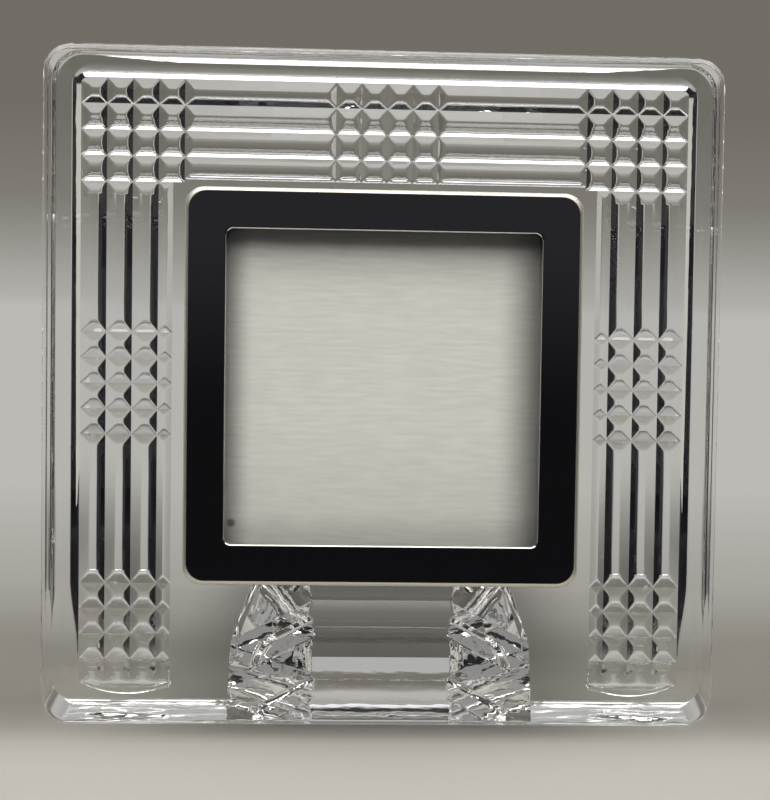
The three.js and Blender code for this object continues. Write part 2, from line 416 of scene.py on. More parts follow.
def rounded_square(size, corner, steps):
    """Points round a square with rounded corners, anticlockwise."""
    straight = size / 2 - corner
    points = []
    for quarter in range(4):
        cx = straight * (1 if quarter in (0, 3) else -1)
        cy = straight * (1 if quarter in (0, 1) else -1)
        for turn in quarter_turn(steps):
            angle = quarter * pi / 2 + turn
            points.append((cx + corner * cos(angle), cy + corner * sin(angle)))
    return points


def loft(name, rings, closed=False, on_slab=True):
    """A skin over rings of points, with end caps or closed into a loop."""
    count = len(rings[0])
    vertices = [point for ring in rings for point in ring]
    faces = []
    spans = len(rings) if closed else len(rings) - 1
    for i in range(spans):
        low = i * count
        high = (i + 1) % len(rings) * count
        for j in range(count):
            k = (j + 1) % count
            faces.append((low + j, low + k, high + k, high + j))
    if not closed:
        faces.append(range(count)[::-1])
        faces.append(range(len(vertices) - count, len(vertices)))
    return make_object(name, vertices, faces, slab_matrix() if on_slab else None)


def window_shape(name, size, corner, steps, front, back):
    outline = rounded_square(size, corner, steps)
    rings = [[(x, u, z + MIDDLE) for x, z in outline] for u in (front, back)]
    return loft(name, rings)


def grid_block(name, columns_at, rows_at, height, base, matrix=None):
    """A block with an uneven surface over a grid and a flat base."""
    grid_a, grid_b = np.meshgrid(columns_at, rows_at)
    surface = height(grid_a, grid_b)
    rows, columns = surface.shape
    middle = height((grid_a[:-1, :-1] + grid_a[1:, 1:]) / 2, (grid_b[:-1, :-1] + grid_b[1:, 1:]) / 2)
    along = np.abs((surface[:-1, :-1] + surface[1:, 1:]) / 2 - middle)
    against = np.abs((surface[:-1, 1:] + surface[1:, :-1]) / 2 - middle)
    vertices = np.stack([grid_a, grid_b, surface], axis=-1).reshape(-1, 3)
    faces = []
    for j in range(rows - 1):
        for i in range(columns - 1):
            a = j * columns + i
            b, c, d = a + 1, a + columns + 1, a + columns
            if along[j, i] < against[j, i]:
                faces += [(a, b, c), (a, c, d)]
            else:
                faces += [(a, b, d), (b, c, d)]
    index = np.arange(rows * columns).reshape(rows, columns)
    rim = np.concatenate([index[0], index[1:, -1], index[-1, -2::-1], index[-2:0:-1, 0]]).tolist()
    foot = vertices[rim]
    foot[:, 2] = base
    start = len(vertices)
    count = len(rim)
    for n in range(count):
        m = (n + 1) % count
        faces.append((rim[n], start + n, start + m, rim[m]))
    faces.append(range(start, start + count))
    return make_object(name, np.vstack([vertices, foot]), faces, matrix)


# Heights

def smooth_step(value):
    share = np.clip(value, 0, 1)
    return share * share * (3 - 2 * share)


def soft_min(first, second, width=HIP_BLEND):
    """The lower of two heights, rounded over where they meet."""
    share = np.clip(0.5 + 0.5 * (second - first) / width, 0, 1)
    return second + (first - second) * share - width * share * (1 - share)


def ripple(a, b):
    """Slow unevenness of pressed glass, from 0 to 1."""
    swell = 0
    for (rate, bend, bend_rate, phase), (along, across) in zip(SWELL_WAVES, ((a, b), (b, a))):
        swell = swell + np.sin(rate * along + bend * np.sin(bend_rate * across) + phase)
    fine = 1
    for rate_a, rate_b, phase in FINE_WAVES:
        fine = fine * np.sin(rate_a * a + rate_b * b + phase)
    return 0.5 + SWELL_SHARE * swell + FINE_SHARE * fine


def arc_rise(across, radius, start_slope):
    """Rise along an arc of this radius that starts out at this slope."""
    slope_sine = sin(start_slope) - across / radius
    return radius * (np.sqrt(1 - slope_sine ** 2) - cos(start_slope))


def ridge_height(distance, section):
    """Height above a groove's bottom, at a distance from its line."""
    wall_run, crest_run = section[2:4]
    valley, shoulder, crest = (radians(section[i]) for i in (0, 1, 4))
    across = np.clip(np.abs(distance), 0, wall_run + crest_run)
    wall_radius = wall_run / (sin(valley) - sin(shoulder))
    crest_radius = crest_run / sin(crest)
    wall = arc_rise(np.minimum(across, wall_run), wall_radius, valley)
    return wall + arc_rise(np.maximum(across - wall_run, 0), crest_radius, crest)


LAND_RISE = float(ridge_height(np.array(PITCH), LAND_CUT))
CREST_HEIGHT = float(ridge_height(np.array(PITCH), COLUMN_CUT))


# Crystal relief

def band_grooves():
    return [BAND_INNER + i * PITCH for i in range(BAND_RIDGES + 1)]


def cross_grooves():
    first = -(CENTRE_CROSS_GROOVES - 1) / 2
    return [(first + i) * PITCH for i in range(CENTRE_CROSS_GROOVES)]


def nearest(values, lines, section):
    """Height of the ridges left by parallel grooves on these lines."""
    gaps = np.min([np.abs(values - line) for line in lines], axis=0)
    return ridge_height(gaps, section)


def inner_ridge(gap, section, width, share=1.0):
    """The low ridge next to the plain field, by distance from its groove."""
    outer = ridge_height(np.clip(gap, 0, PITCH / 2), section)
    inner = share * ridge_height(np.clip(width - gap, 0, PITCH / 2), section)
    height = soft_min(outer, inner, INNER_BLEND)
    return np.where(gap < width, np.maximum(height, 0), 0)


def upright_ridges(x, z, lines):
    """Ridges of the columns, which run out below the last level groove."""
    across = np.abs(x)
    inner = inner_ridge(INMOST - across, COLUMN_CUT, INNER_RIDGE_WIDTH, INNER_RIDGE_SHARE)
    upright = np.where((z < BAND_INNER) & (across < INMOST), inner, nearest(x, lines, COLUMN_CUT))
    run_out = smooth_step((-z - (BAND_OUTER - PITCH) - RUN_OUT_START) / RUN_OUT_LENGTH)
    return upright + (CREST_HEIGHT * RUN_OUT_SHARE - upright) * run_out


def level_ridges(z, lines):
    """Ridges of the level grooves, cut otherwise in the first row and the lower blocks."""
    first_row = smooth_step((z - (BAND_OUTER - 1.5 * PITCH)) / ROW_BLEND + 0.5)
    top = first_row * nearest(z, lines, FIRST_ROW_CUT) + (1 - first_row) * nearest(z, lines, ROW_CUT)
    return np.where(z > 0, top, nearest(z, lines, LOWER_ROW_CUT))


def band_height(x, z, in_column):
    """Ridges of the columns and the top rows, crossed into points at the blocks."""
    lines = [side * line for line in band_grooves() for side in (-1, 1)]
    level = level_ridges(z, lines)
    corner_start = BAND_INNER - PITCH / 2
    across = np.where(np.abs(z) >= corner_start, level, nearest(z, cross_grooves(), CROSS_CUT))
    columns = soft_min(upright_ridges(x, z, lines), across)
    inner = inner_ridge(INMOST - z, ROW_CUT, INNER_ROW_WIDTH)
    rows = np.where(~in_column & (z < INMOST), inner, level)
    upright_lines = (nearest(x, lines, COLUMN_CUT), nearest(x, cross_grooves(), COLUMN_CUT))
    return np.where(in_column, columns, soft_min(rows, np.where(np.abs(x) >= corner_start, *upright_lines)))


def past_bands(x, z):
    """How far a point is past the bands' sides and past their rounded outline."""
    across = np.abs(x)
    sag = 1 - ((across - (BAND_INNER + BAND_OUTER) / 2) / (BAND_OUTER - BAND_INNER) * 2) ** 2
    bottom = BAND_OUTER + np.where(z < 0, END_SAG * np.maximum(sag, 0), 0)
    corner = np.where(z < 0, LOWER_CORNER, BAND_CORNER)
    past_x = across - (BAND_OUTER - corner)
    past_z = np.abs(z) - (bottom - corner)
    past = np.hypot(np.maximum(past_x, 0), np.maximum(past_z, 0)) - corner
    return past_x, past_z, past + np.minimum(np.maximum(past_x, past_z), 0)


def land_height(z, past_x, past_z, past):
    """Outer wall of the bands, which fades out down the sides."""
    over_x = np.maximum(past_x, 0) ** 2
    over_z = np.where(z > 0, np.maximum(past_z, 0) ** 2, 0)
    top_share = over_z / np.maximum(over_x + over_z, LEAST_SQUARE)
    beyond = np.maximum(past, 0)
    side_level = LAND_RISE * (1 - smooth_step((-z - LAND_FADE_START) / LAND_FADE))
    side_wall = soft_min(ridge_height(beyond, LAND_CUT), side_level)
    return (1 - top_share) * np.maximum(side_wall, 0) + top_share * ridge_height(beyond, TOP_LAND_CUT)


def back_face(x, z):
    """Depth of the slab's back with its relief, by place from the window's middle."""
    in_top = z >= BAND_INNER
    in_column = np.abs(x) >= np.where(in_top, BAND_INNER, INMOST - INNER_RIDGE_WIDTH)
    past_x, past_z, past = past_bands(x, z)
    inside = soft_min(band_height(x, z, in_column), ridge_height(np.minimum(past, 0), COLUMN_CUT))
    edged = np.where(past < 0, inside, land_height(z, past_x, past_z, past))
    carved = np.where(in_column | in_top, edged, 0) - LAND_RISE
    # the lower edge is rounded over its whole width
    short = np.clip(1 - (z + MIDDLE - BACK_FOOT) / LOWER_EDGE_ROUND, 0, 1)
    return SLAB_THICKNESS + (carved - LOWER_EDGE_ROUND * (1 - np.sqrt(1 - short ** 2)))


def stations(lines, edges, limits):
    """Grid lines: fine across each groove and edge wall, coarse between."""
    wall = np.linspace(0, WALL_RUN, WALL_POINTS)
    turn = np.linspace(radians(COLUMN_CUT[1]), 0, CREST_POINTS)
    crest = PITCH / 2 - CREST_RUN * np.sin(turn) / sin(turn[0])
    fine = [line + side * step for line in lines for side in (-1, 1) for step in (*wall, *crest[1:])]
    reach = TOP_LAND_CUT[2] + TOP_LAND_CUT[3]
    outer = [*np.linspace(0, LAND_REACH, RIM_POINTS)[1:], *np.linspace(LAND_REACH, reach, LAND_POINTS)[1:]]
    rims = [edge + copysign(step, edge) for edge in edges for step in outer]
    kept = [f for f in fine if edges[0] <= f <= edges[1]] + rims
    plain = np.arange(limits[0], limits[1] + COARSE_STEP / 2, COARSE_STEP)
    near = np.array([*lines, *edges])
    far = [p for p in plain if np.min(np.abs(near - p)) > reach]
    return np.array(sorted(set(np.round(kept + far, 4))))


def relief_block():
    """A block whose back is the cut pattern, larger than the slab all round."""
    reach = SLAB_SIZE / 2 + RELIEF_MARGIN
    band = band_grooves()
    lines = [-line for line in band] + cross_grooves() + band
    lowest = -BAND_OUTER - END_SAG
    xs = stations(lines, (-BAND_OUTER, BAND_OUTER), (-reach, reach))
    zs = stations(lines, (lowest, BAND_OUTER), (-reach - PATTERN_RISE, reach - PATTERN_RISE))
    turn = 1 - np.cos(np.linspace(0, pi / 2, EDGE_POINTS))
    edge = BACK_FOOT - MIDDLE + LOWER_EDGE_ROUND * turn
    sag = np.arange(lowest - LAND_CUT[2], RIM_STEP - BAND_OUTER, RIM_STEP)
    zs = np.array(sorted(set(zs) | set(np.round(edge, 4)) | set(np.round(sag, 4))))
    return grid_block("relief_block", xs, zs, back_face, -OVERRUN, grid_matrix())


# Crystal body

def slab_plate():
    """The slab with its rounded edges; its foot end is level with the table."""
    rings = []
    turns = quarter_turn(EDGE_STEPS)
    for end, radius, angles in ((0, EDGE_ROUND, turns), (1, BACK_EDGE_ROUND, turns[::-1])):
        for angle in angles:
            inset = radius * (1 - sin(angle))
            depth = radius * (1 - cos(angle))
            u = depth if end == 0 else SLAB_THICKNESS - depth
            outline = rounded_square(SLAB_SIZE - 2 * inset, SLAB_CORNER - inset, CORNER_STEPS)
            rise = u * tan(LEAN)
            rings.append([(x, u, z + SLAB_SIZE / 2 + rise * (0.5 - z / SLAB_SIZE)) for x, z in outline])
    return loft("slab_plate", rings)


def top_lip():
    """A low lip along the slab's upper back edge, dying out towards the corners."""
    across = np.linspace(0, LIP_WIDTH, LIP_POINTS)
    rise = ridge_height(across, LIP_CUT) + LIP_SINK
    top = SLAB_SIZE - LIP_SINK / 2
    inside = SLAB_THICKNESS - OVERRUN
    rings = []
    for x in np.linspace(-LIP_HALF, LIP_HALF, LIP_STATIONS):
        share = min((LIP_HALF - abs(x)) / LIP_TAPER, 1)
        sunk = SLAB_THICKNESS - LIP_SINK - (1 - share) * rise[-1]
        back = [(x, sunk + r, top - LIP_WIDTH + a) for a, r in zip(across, rise)]
        rings.append([(x, inside, top - LIP_WIDTH)] + back + [(x, inside, top)])
    return loft("top_lip", rings)


def end_bead(side):
    """A fine bead that closes a column's lower end."""
    middle = (BEAD_INNER + BEAD_OUTER) / 2
    half = (BEAD_OUTER - BEAD_INNER) / 2
    rings = []
    for share in np.linspace(-1, 1, BEAD_STATIONS):
        x = side * (middle + share * half)
        low = MIDDLE - BAND_OUTER + BEAD_LIFT - END_SAG * (1 - share ** 2)
        thick = BEAD_TIP + (1 - BEAD_TIP) * sqrt(max(1 - share ** 4, 0))
        ring = []
        for angle in np.linspace(0, 2 * pi, BEAD_SIDES + 1)[:-1]:
            u = SLAB_THICKNESS - LAND_RISE + BEAD_RISE * thick * cos(angle)
            ring.append((x, u, low + BEAD_HALF * thick * sin(angle)))
        rings.append(ring)
    return loft("end_bead", rings)


def foot_half(y):
    """Half width of the foot at a distance from the slab's front."""
    return FOOT_REAR_HALF + FOOT_TAPER * (FOOT_REAR - y)


def hollow_depth(y, z):
    """Depth of the hollow in the foot's sides, rounded at its front end."""
    inside = min(z - HOLLOW_LOW, HOLLOW_HIGH - z, y - HOLLOW_FRONT)
    back = HOLLOW_FRONT + HOLLOW_CURVE
    tall = HOLLOW_HIGH - HOLLOW_LOW
    if y < back and z > HOLLOW_LOW:
        inside = min(inside, tall * (1 - hypot((back - y) / HOLLOW_CURVE, (z - HOLLOW_LOW) / tall)))
    return HOLLOW_DEPTH * float(smooth_step(inside / HOLLOW_WALL))


def foot_ring(rear, section):
    """A ring from the foot's right root round to its left; a section gives half width and height."""
    curve = np.arange(HOLLOW_FRONT - FOOT_STEP, HOLLOW_FRONT + HOLLOW_CURVE + FOOT_STEP, FOOT_STEP)
    places = [FOOT_ROOT_Y, *curve, rear - FOOT_EDGE]
    right = [(section(y)[0], y) for y in places]
    edge_half = right[-1][0]
    slope = atan(FOOT_TAPER)
    steps = 4
    for step in range(1, steps + 1):
        angle = slope + step / steps * (pi / 2 - slope)
        right.append((edge_half - FOOT_EDGE * (cos(slope) - cos(angle)), rear - FOOT_EDGE * (1 - sin(angle))))
    outline = right + [(-x, y) for x, y in right[::-1]]
    return [(x, y + FRONT_Y, section(y)[1]) for x, y in outline]


def foot_level(height, inset):
    """A level ring whose rear is drawn in."""
    return foot_ring(FOOT_REAR - inset, lambda y: (foot_half(y) - hollow_depth(y, height), height))


def foot_crown():
    rear = FOOT_REAR - FOOT_REAR_TOP_SETBACK
    fall = (FOOT_TOP - FOOT_REAR_TOP) / (rear - FOOT_ROOT_Y)

    def section(y):
        height = FOOT_REAR_TOP + fall * (rear - y)
        return foot_half(y) - FOOT_BEVEL * (height - COVE_HIGH), height

    return foot_ring(rear, section)


def foot_body():
    """Plinth, hollowed rear and sides, and sloping top."""
    rings = [foot_level(-OVERRUN, 0), foot_level(PLINTH_HEIGHT, 0), foot_level(COVE_LOW, COVE_STEP)]
    steps = 24
    for step in range(1, steps + 1):
        share = step / steps
        inset = COVE_STEP + sin(share * pi) * (COVE_INSET - COVE_STEP)
        rings.append(foot_level(COVE_LOW + share * (COVE_HIGH - COVE_LOW), inset))
    return loft("foot_body", [*rings, foot_crown()], on_slab=False)


def foot_boss():
    """The flat pad that the foot grows out of."""
    ease_in, ease_down = BOSS_SHOULDER_EASE
    face = SLAB_THICKNESS + BOSS_RISE
    turns = quarter_turn(BOSS_STEPS)
    edge = [(BOSS_EDGE * (1 - cos(turn)), face - BOSS_EDGE * (1 - sin(turn))) for turn in turns]
    rings = []
    for inset, u in [(0, SLAB_THICKNESS - OVERRUN), *edge]:
        half = BOSS_HALF - inset
        top_half = BOSS_TOP_HALF - inset
        top = BOSS_TOP - inset
        outline = [(-half, -OVERRUN), (half, -OVERRUN), (half, BOSS_SHOULDER - ease_down),
                   (half - ease_in, BOSS_SHOULDER), (top_half, top), (-top_half, top),
                   (ease_in - half, BOSS_SHOULDER), (-half, BOSS_SHOULDER - ease_down)]
        rings.append([(x, u, s) for x, s in outline])
    return loft("foot_boss", rings)


def underside(x, y):
    """Height of the uneven underside, grained beside the foot."""
    beside_foot = smooth_step((np.abs(x) - BOSS_HALF) / GRAIN_FADE)
    grain = ripple(x * GRAIN_ACROSS, y * GRAIN_ALONG)
    return UNDERSIDE_RIPPLE * ripple(x, y) + UNDERSIDE_GRAIN * beside_foot * grain


def table_block():
    reach = SLAB_SIZE
    slab_end = FRONT_Y + SLAB_THICKNESS + UNDERSIDE_PAST_SLAB
    across = np.arange(-SLAB_SIZE / 2, SLAB_SIZE / 2 + UNDERSIDE_STEP, UNDERSIDE_STEP)
    along = np.arange(FRONT_Y - UNDERSIDE_MARGIN, slab_end, UNDERSIDE_STEP)
    behind = np.arange(slab_end, FRONT_Y + FOOT_REAR + UNDERSIDE_MARGIN, 2 * UNDERSIDE_STEP)
    xs = np.concatenate([[-reach], across, [reach]])
    ys = np.concatenate([[-reach], along, behind, [reach]])
    return grid_block("table_block", xs, ys, underside, -reach)


def crystal_body():
    """Slab with its relief and window, lip, beads and foot, as one glass body."""
    body = cut(slab_plate(), relief_block(), "INTERSECT")
    window = window_shape("window_prism", WINDOW_SIZE, WINDOW_CORNER, WINDOW_STEPS,
                          -OVERRUN, SLAB_THICKNESS + OVERRUN)
    cut(body, window, "DIFFERENCE")
    cut(body, top_lip(), "UNION")
    for side in (-1, 1):
        cut(body, end_bead(side), "UNION")
    cut(body, foot_boss(), "UNION")
    cut(body, foot_body(), "UNION")
    cut(body, table_block(), "DIFFERENCE")
    body.name = "crystal"
    return finished(body, sharp_angle=24)


# Bezel

def bezel_profile(steps):
    """Sizes and depths of the bezel's section, from its outer to its inner back edge."""
    turns = quarter_turn(steps)
    outer = [(BEZEL_SIZE - 2 * BEZEL_OUTER_ROUND * (1 - cos(turn)),
              BEZEL_FRONT + BEZEL_OUTER_ROUND * (1 - sin(turn))) for turn in turns]
    inner = [(OPENING + 2 * BEZEL_INNER_ROUND * (1 - sin(turn)),
              BEZEL_FRONT + BEZEL_INNER_ROUND * (1 - cos(turn))) for turn in turns]
    return [(BEZEL_SIZE, BEZEL_BACK), *outer, *inner, (OPENING, BEZEL_BACK)]


def bezel_ring():
    """The metal front frame: a flat face, a rolled satin outer edge and an eased inner edge."""
    steps = 6
    rings = []
    for size, u in bezel_profile(steps):
        share = (BEZEL_SIZE - size) / (BEZEL_SIZE - OPENING)
        corner = BEZEL_CORNER + share * (OPENING_CORNER - BEZEL_CORNER)
        outline = rounded_square(size, corner, CORNER_STEPS)
        rings.append([(x, u, z + MIDDLE) for x, z in outline])
    ring = loft("bezel_ring", rings, closed=True)
    mark_points(ring, "satin", [float(i <= steps) for i, points in enumerate(rings) for _ in points])
    return finished(ring, sharp_angle=40)


# Corrugated filler board

def extruded(name, outline):
    """A bar across the stack, from an outline of depths and heights."""
    half = CONTENT_SIZE / 2
    rings = [[(x, u, s) for u, s in outline] for x in (-half, half)]
    return loft(name, rings)


def liner(name, front):
    low = MIDDLE - CONTENT_SIZE / 2
    high = MIDDLE + CONTENT_SIZE / 2
    back = front + LINER_THICKNESS
    return extruded(name, [(front, low), (back, low), (back, high), (front, high)])


def flute():
    """The waved middle layer, pressed a little into both liners."""
    middle = (FILLER_FRONT + FILLER_BACK) / 2
    swing = (FILLER_BACK - FILLER_FRONT) / 2 - LINER_THICKNESS - FLUTE_THICKNESS * FLUTE_PRESS
    sides = {-1: [], 1: []}
    for step in range(FLUTE_STEPS + 1):
        rise = (step / FLUTE_STEPS - 0.5) * CONTENT_SIZE
        phase = 2 * pi * rise / FLUTE_PITCH
        slope = swing * 2 * pi / FLUTE_PITCH * cos(phase)
        half = FLUTE_THICKNESS / 2 * hypot(1, slope)
        for side, points in sides.items():
            points.append((middle + swing * sin(phase) + side * half, MIDDLE + rise))
    return extruded("flute", sides[1] + sides[-1][::-1])


def filler_board():
    board = cut(flute(), liner("front_liner", FILLER_FRONT), "UNION")
    cut(board, liner("back_liner", FILLER_BACK - LINER_THICKNESS), "UNION")
    board.name = "corrugated_filler"
    return finished(board, sharp_angle=30)


# Velvet and ribbon of the closing panel

def velvet_face(x, z):
    """Depth of the velvet's face, which swells softly and turns down at its edges."""
    from_edge = CONTENT_SIZE / 2 - np.maximum(np.abs(x), np.abs(z))
    drop = np.clip(1 - from_edge / VELVET_EDGE, 0, 1)
    turned = VELVET_EDGE * VELVET_TURN * (1 - np.sqrt(1 - drop ** 2))
    return VELVET_BACK - turned - VELVET_SWELL * ripple(x * VELVET_SWELL_SCALE, z * VELVET_SWELL_SCALE)


def velvet_panel():
    half = CONTENT_SIZE / 2
    edge = half - VELVET_EDGE * (1 - np.cos(np.linspace(0, pi / 2, VELVET_POINTS)))
    inside = np.arange(0, half - VELVET_EDGE, VELVET_STEP)
    places = np.array(sorted(set(np.round(np.concatenate([-edge, -inside, inside, edge]), 4))))
    sheet = grid_block("velvet_panel", places, places, velvet_face, VELVET_FRONT, grid_matrix())
    outline = window_shape("panel_prism", CONTENT_SIZE, CONTENT_CORNER, CONTENT_STEPS,
                           VELVET_FRONT - OVERRUN, VELVET_BACK + OVERRUN)
    return finished(cut(sheet, outline, "INTERSECT"), sharp_angle=50)


def ribbon_path():
    """Depth and height along the ribbon: down the velvet, round the fold, and up again."""
    bend = (RIBBON_FAR - RIBBON_NEAR - RIBBON_THICKNESS) / 2 - RIBBON_RIB_RISE
    middle = (RIBBON_NEAR + RIBBON_FAR) / 2
    low = RIBBON_FOLD + bend * 2
    leg = np.arange(RIBBON_TOP, low, -RIBBON_RIB / 4)
    # the two layers draw together towards the seam at the top
    opening = np.clip((RIBBON_TOP - leg) / RIBBON_SEAM_REACH, 0, 1) ** RIBBON_SEAM_CURVE
    gap = bend * (RIBBON_SEAM_GAP + (1 - RIBBON_SEAM_GAP) * opening)
    turns = np.linspace(0, pi, RIBBON_FOLD_POINTS)[1:-1]
    fold = [(middle - bend * cos(a), low - bend * RIBBON_FOLD_SAG * sin(a)) for a in turns]
    down = list(zip(middle - gap, leg))
    up = list(zip(middle + gap, leg))[::-1]
    return down + fold + up


def ribbon_loop():
    """A ribbed ribbon folded into a loop, pinched a little at the fold."""
    path = ribbon_path()
    rings = []
    for i, (u, s) in enumerate(path):
        before = path[max(i - 1, 0)]
        after = path[min(i + 1, len(path) - 1)]
        along = Vector((after[0] - before[0], after[1] - before[1])).normalized()
        near_fold = exp(-((s - RIBBON_FOLD) / RIBBON_PINCH_REACH) ** 2)
        half = RIBBON_WIDTH / 2 - RIBBON_PINCH * near_fold
        thick = RIBBON_THICKNESS / 2 + RIBBON_RIB_RISE * (0.5 - 0.5 * cos(i * pi / 2))
        across = (-half, RIBBON_SELVEDGE - half, half - RIBBON_SELVEDGE, half)
        ring = []
        for side, x in [(1, x) for x in across] + [(-1, x) for x in across[::-1]]:
            swell = thick if abs(x) < half else RIBBON_THICKNESS * RIBBON_EDGE_SHARE
            ring.append((x, u - side * along[1] * swell, s + side * along[0] * swell + MIDDLE))
        rings.append(ring)
    return finished(loft("ribbon_loop", rings), sharp_angle=60)


# Shader nodes

def set_inputs(made, values):
    """Sets a node's settings and inputs, with underscores for spaces."""
    for key, value in values.items():
        if hasattr(made, key):
            setattr(made, key, value)
        else:
            made.inputs[key.replace("_", " ")].default_value = value


def material(name, **values):
    """A new material, its nodes and its principled shader."""
    made = bpy.data.materials.new(name)
    made.use_nodes = True
    shader = made.node_tree.nodes["Principled BSDF"]
    set_inputs(shader, values)
    return made, made.node_tree, shader


def node(tree, kind, **values):
    made = tree.nodes.new(kind)
    set_inputs(made, values)
    return made


def feed(tree, value, socket):
    """Links a value that comes from a node, or sets a constant."""
    if isinstance(value, bpy.types.NodeSocket):
        tree.links.new(value, socket)
    else:
        socket.default_value = value


def show(tree, surface):
    feed(tree, surface, tree.nodes["Material Output"].inputs["Surface"])


def row_place(tree):
    return node(tree, "ShaderNodeTexCoord").outputs["Object"]


def axis_value(tree, axis):
    """Place along one axis of the row frame, in metres."""
    axes = node(tree, "ShaderNodeSeparateXYZ")
    feed(tree, row_place(tree), axes.inputs["Vector"])
    return axes.outputs[axis]


def noise(tree, scale, detail=3.0, stretch=(1, 1, 1)):
    """Noise in the row frame, stretched along the axes."""
    mapping = node(tree, "ShaderNodeMapping", Scale=stretch)
    texture = node(tree, "ShaderNodeTexNoise", Scale=scale, Detail=detail)
    feed(tree, row_place(tree), mapping.inputs["Vector"])
    feed(tree, mapping.outputs["Vector"], texture.inputs["Vector"])
    return texture.outputs["Fac"]


def ramp(tree, source, start, end, at_start=0.0, at_end=1.0, shape="SMOOTHSTEP"):
    """Maps a value from one range to another, smoothly or evenly."""
    made = node(tree, "ShaderNodeMapRange", interpolation_type=shape, From_Min=start, From_Max=end,
                To_Min=at_start, To_Max=at_end)
    feed(tree, source, made.inputs["Value"])
    return made.outputs["Result"]


def spread(tree, source, low, high):
    """Maps a 0 to 1 value evenly to a range."""
    return ramp(tree, source, 0.0, 1.0, low, high, "LINEAR")


def bump(tree, shader, source, strength, distance):
    made = node(tree, "ShaderNodeBump", Strength=strength, Distance=distance)
    feed(tree, source, made.inputs["Height"])
    feed(tree, made.outputs["Normal"], shader.inputs["Normal"])


def combine(tree, operation, first, second):
    """A sum, product or larger of two values."""
    made = node(tree, "ShaderNodeMath", operation=operation)
    feed(tree, first, made.inputs[0])
    feed(tree, second, made.inputs[1])
    return made.outputs["Value"]


def mix_colours(tree, share, first, second):
    """A colour between two, each a constant or from a node."""
    made = node(tree, "ShaderNodeMix", data_type="RGBA")
    feed(tree, share, made.inputs[0])
    feed(tree, first, made.inputs[6])
    feed(tree, second, made.inputs[7])
    return made.outputs[2]


def paint(tree, shader, share, first, second):
    feed(tree, mix_colours(tree, share, first, second), shader.inputs["Base Color"])


def glow(tree, colour, strength=1.0):
    made = node(tree, "ShaderNodeEmission")
    feed(tree, colour, made.inputs["Color"])
    feed(tree, strength, made.inputs["Strength"])
    return made.outputs["Emission"]


def mix_shaders(tree, share, first, second):
    made = node(tree, "ShaderNodeMixShader")
    feed(tree, share, made.inputs[0])
    feed(tree, first, made.inputs[1])
    feed(tree, second, made.inputs[2])
    return made.outputs["Shader"]


def ray_kind(tree, kind):
    return node(tree, "ShaderNodeLightPath").outputs[kind]


def seen_in_part(tree):
    """One for rays that reached a surface by way of the part's glass or metal."""
    return combine(tree, "MAXIMUM", ray_kind(tree, "Is Glossy Ray"), ray_kind(tree, "Is Transmission Ray"))


# Materials

def glass_material(name, tint, index, smear_scale, roughest, shadow_tint):
    """Clear glass, slightly smeared, that lets the lamps through."""
    made, tree, shader = material(name, Base_Color=tint, Transmission_Weight=1.0, IOR=index)
    feed(tree, spread(tree, noise(tree, smear_scale), 0.0, roughest), shader.inputs["Roughness"])
    clear = node(tree, "ShaderNodeBsdfTransparent", Color=shadow_tint).outputs["BSDF"]
    show(tree, mix_shaders(tree, ray_kind(tree, "Is Shadow Ray"), shader.outputs["BSDF"], clear))
    return made


def crystal_material():
    """Pressed crystal, polished in front and a little wavy behind."""
    made = glass_material("crystal", tint=(0.985, 0.99, 0.988, 1), index=1.54, smear_scale=60,
                          roughest=0.012, shadow_tint=(0.82, 0.83, 0.825, 1))
    tree = made.node_tree
    behind = ramp(tree, axis_value(tree, "Y"), WAVY_START, WAVY_FULL, WAVY_LEAST, 1.0, "LINEAR")
    waves = combine(tree, "MULTIPLY", noise(tree, scale=260, detail=1.5), behind)
    bump(tree, tree.nodes["Principled BSDF"], waves, strength=1.0, distance=0.00004)
    return made


def pane_material():
    return glass_material("glazing", tint=(0.98, 0.99, 0.985, 1), index=1.5, smear_scale=80,
                          roughest=0.02, shadow_tint=(0.92, 0.93, 0.92, 1))


def plated_material():
    """Polished on its face, satin round its outer edge."""
    made, tree, shader = material("plated_metal", Metallic=1.0)
    satin = node(tree, "ShaderNodeAttribute", attribute_name="satin").outputs["Fac"]
    # The satin outer edge is also coloured paler and creamier than the face
    paint(tree, shader, satin, (0.78, 0.775, 0.765, 1), (0.92, 0.88, 0.78, 1))
    polish = spread(tree, noise(tree, scale=140), low=0.03, high=0.07)
    roughness = combine(tree, "ADD", polish, spread(tree, satin, low=0.0, high=0.42))
    feed(tree, roughness, shader.inputs["Roughness"])
    bump(tree, shader, noise(tree, scale=30, detail=1.0), strength=0.03, distance=0.0004)
    return made


def paper_shade_and_stain(tree):
    """Painted shade on the paper towards its edges, where the bezel's recess shades it, with one small stain.
    """
    away = node(tree, "ShaderNodeVectorMath", operation="DISTANCE")
    away.inputs[1].default_value = STAIN_PLACE
    feed(tree, row_place(tree), away.inputs[0])
    tone = ramp(tree, away.outputs["Value"], *STAIN_RADIUS, STAIN_TONE, 1.0, "LINEAR")
    for axis, edge, reach, at_edge in PAPER_SHADE_EDGES:
        shade = ramp(tree, axis_value(tree, axis), edge * MM, (edge + reach) * MM, at_edge, 1.0)
        tone = combine(tree, "MULTIPLY", tone, shade)
    return tone


def paper_material():
    made, tree, shader = material("photo_paper", Roughness=0.85)
    grain = noise(tree, scale=1700, detail=8.0, stretch=(0.12, 1, 1))
    fibre = mix_colours(tree, grain, (0.585, 0.562, 0.523, 1), (0.80, 0.772, 0.728, 1))
    # The fibre colour is darkened by painted shade towards the edges and by the small stain
    paint(tree, shader, paper_shade_and_stain(tree), BLACK, fibre)
    bump(tree, shader, grain, strength=0.15, distance=0.0002)
    return made


def grained_material(name, dark, pale, roughness, depth, **grain):
    """A surface between two colours, raised a little along its grain."""
    made, tree, shader = material(name, Roughness=roughness)
    grains = noise(tree, **grain)
    paint(tree, shader, grains, dark, pale)
    bump(tree, shader, grains, strength=depth, distance=0.0002)
    return made


